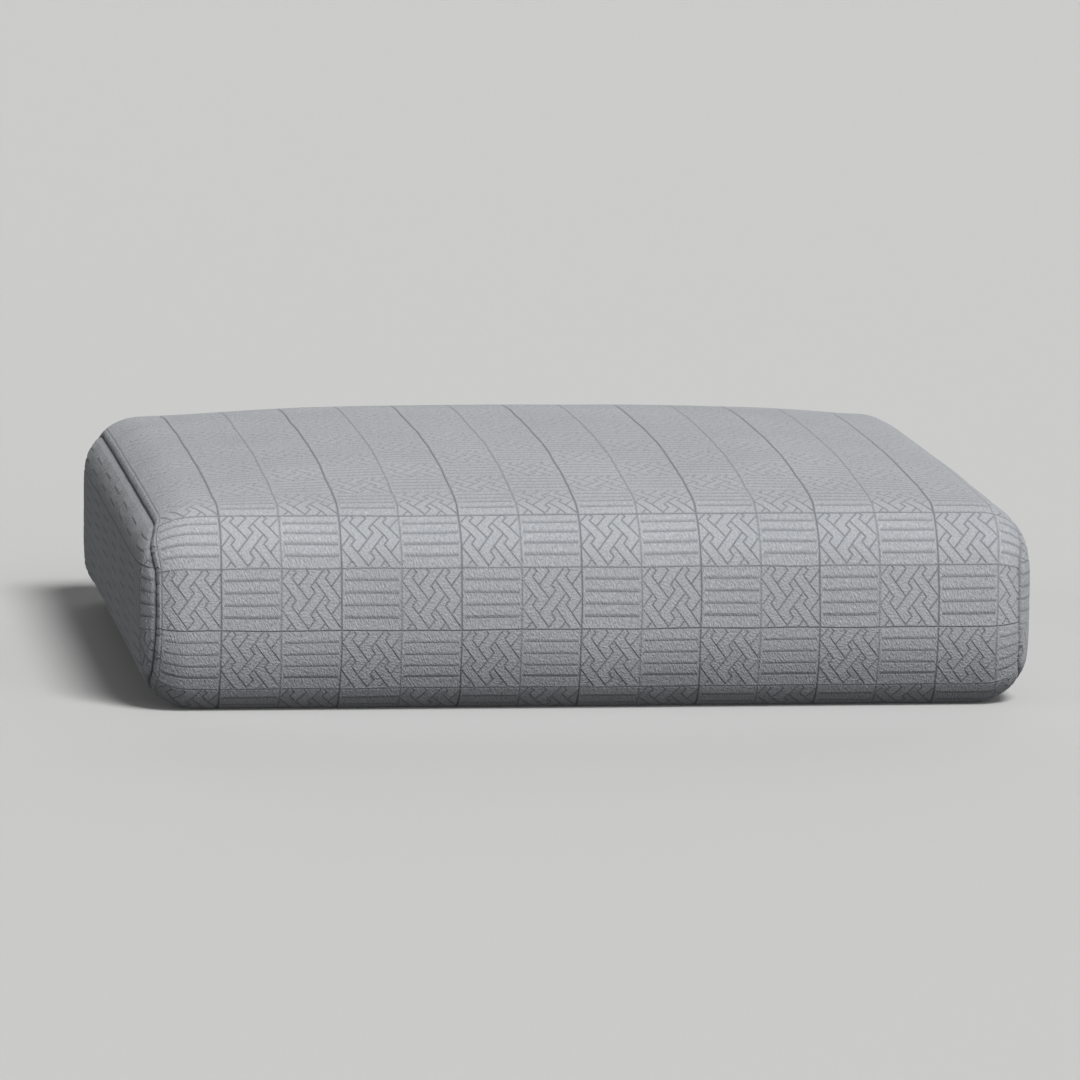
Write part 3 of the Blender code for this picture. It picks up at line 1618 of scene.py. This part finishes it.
    def build(self, material: bpy.types.Material) -> bpy.types.Object:
        """Builds and dresses the piece.

        Args:
            material: Its finish.

        Returns:
            The finished object.
        """
        bm = self.flat()
        self.add_rings(bm)
        mark_cloth(bm, self.cloth, self.corner)
        self.lay(bm)
        bmesh.ops.recalc_face_normals(bm, faces=bm.faces)
        middle = Vector((self.end.value, 0.0, 0.0))
        if sum(f.normal.dot(middle) * f.calc_area() for f in bm.faces) < 0:
            bmesh.ops.reverse_faces(bm, faces=bm.faces)
        self.thicken(bm)
        node = f"end_panel_{self.end.name.lower()}"
        piece = finish_piece(f"{node}_cover", bm, material)
        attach(piece, "root")
        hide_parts(node)
        return piece


# The studio


@dataclass(frozen=True)
class SoftLight:
    """A large soft light, far enough away to light the whole floor evenly.

    Its direction is in degrees: azimuth 0 is the front, 90 the right end.
    """

    name: str
    azimuth: float
    elevation: float
    spread: float
    strength: float
    distance: float = 5.0

    @property
    def direction(self) -> Vector:
        """Unit direction from the cushion to the light."""
        around, up = math.radians(self.azimuth), math.radians(self.elevation)
        return Vector(
            (
                math.cos(up) * math.sin(around),
                -math.cos(up) * math.cos(around),
                math.sin(up),
            )
        )

    def build(self) -> None:
        """Adds the light to the scene."""
        data = bpy.data.lights.new(self.name, "SUN")
        data.energy = self.strength
        data.angle = math.radians(self.spread)
        lamp = bpy.data.objects.new(self.name, data)
        lamp.location = self.direction * self.distance
        lamp.rotation_euler = self.direction.to_track_quat("Z", "Y").to_euler()
        bpy.context.scene.collection.objects.link(lamp)


@dataclass
class Studio:
    """A plain pale floor, soft lights and the camera."""

    target: Vector
    floor_size: float = 60.0
    camera_place: tuple[float, float, float] = (-0.940, -7.620, 1.125)
    lens: float = 297.0
    roll: float = 0.6
    ambient: str = "#FFFFFF"
    ambient_strength: float = 0.06
    lights: tuple[SoftLight, ...] = (
        SoftLight("key", 27.0, 54.0, 22.0, 2.82),
        SoftLight("fill", 28.0, 13.0, 60.0, 1.06),
        SoftLight("side", -85.0, 15.0, 60.0, 0.5),
        SoftLight("back", 165.0, 4.0, 60.0, 1.2),
    )

    def add_floor(self) -> None:
        """Adds the floor, which isn't part of the object."""
        bm = bmesh.new()
        bmesh.ops.create_grid(bm, x_segments=1, y_segments=1, size=self.floor_size / 2)
        floor = finish_piece("floor", bm, MattePaint().material(), embossed=False)
        # Pale as it is, it throws no light back up at the cushion's underside.
        floor.visible_diffuse = False
        floor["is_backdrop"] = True

    def add_lights(self) -> None:
        """Adds the soft lights and the even light around."""
        for light in self.lights:
            light.build()
        world = bpy.data.worlds.new("studio")
        world.use_nodes = True
        background = world.node_tree.nodes["Background"]
        background.inputs["Color"].default_value = linear(self.ambient)
        background.inputs["Strength"].default_value = self.ambient_strength
        bpy.context.scene.world = world

    def add_camera(self) -> None:
        """Adds the camera, aimed at the cushion's middle."""
        data = bpy.data.cameras.new("camera")
        data.lens = self.lens
        data.sensor_width = 36.0
        data.clip_end = 100.0
        camera = bpy.data.objects.new("camera", data)
        camera.location = self.camera_place
        away = (Vector(self.camera_place) - self.target).to_track_quat("Z", "Y")
        level = Quaternion((0.0, 0.0, 1.0), math.radians(self.roll))
        camera.rotation_euler = (away @ level).to_euler()
        bpy.context.scene.collection.objects.link(camera)
        bpy.context.scene.camera = camera

    def build(self) -> None:
        """Sets up the whole studio, with plain colours and no film look."""
        bpy.context.scene.view_settings.view_transform = "Standard"
        self.add_floor()
        self.add_lights()
        self.add_camera()


def main() -> None:
    """Builds the cover and its studio."""
    logging.basicConfig(level=logging.INFO, format="%(message)s", stream=sys.stdout)
    form = CushionForm.from_frame()
    LOG.info("loop round the cushion %.4f m", form.loop)
    cloth = EmbossedCloth(length=form.loop / WrapPanel.rows)
    material = StretchJacquard().material(cloth)
    tension = SeamTension()
    wrap = WrapPanel(form, cloth, tension).build(material)
    LOG.info("%s: %d triangles", wrap.name, triangle_count(wrap))
    for end in End:
        panel = EndPanel(form, cloth, tension, end, wrap).build(material)
        LOG.info("%s: %d triangles", panel.name, triangle_count(panel))
    low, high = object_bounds()
    Studio(target=Vector((0.0, 0.0, (low[2] + high[2]) / 2))).build()


if __name__ == "__main__":
    main()
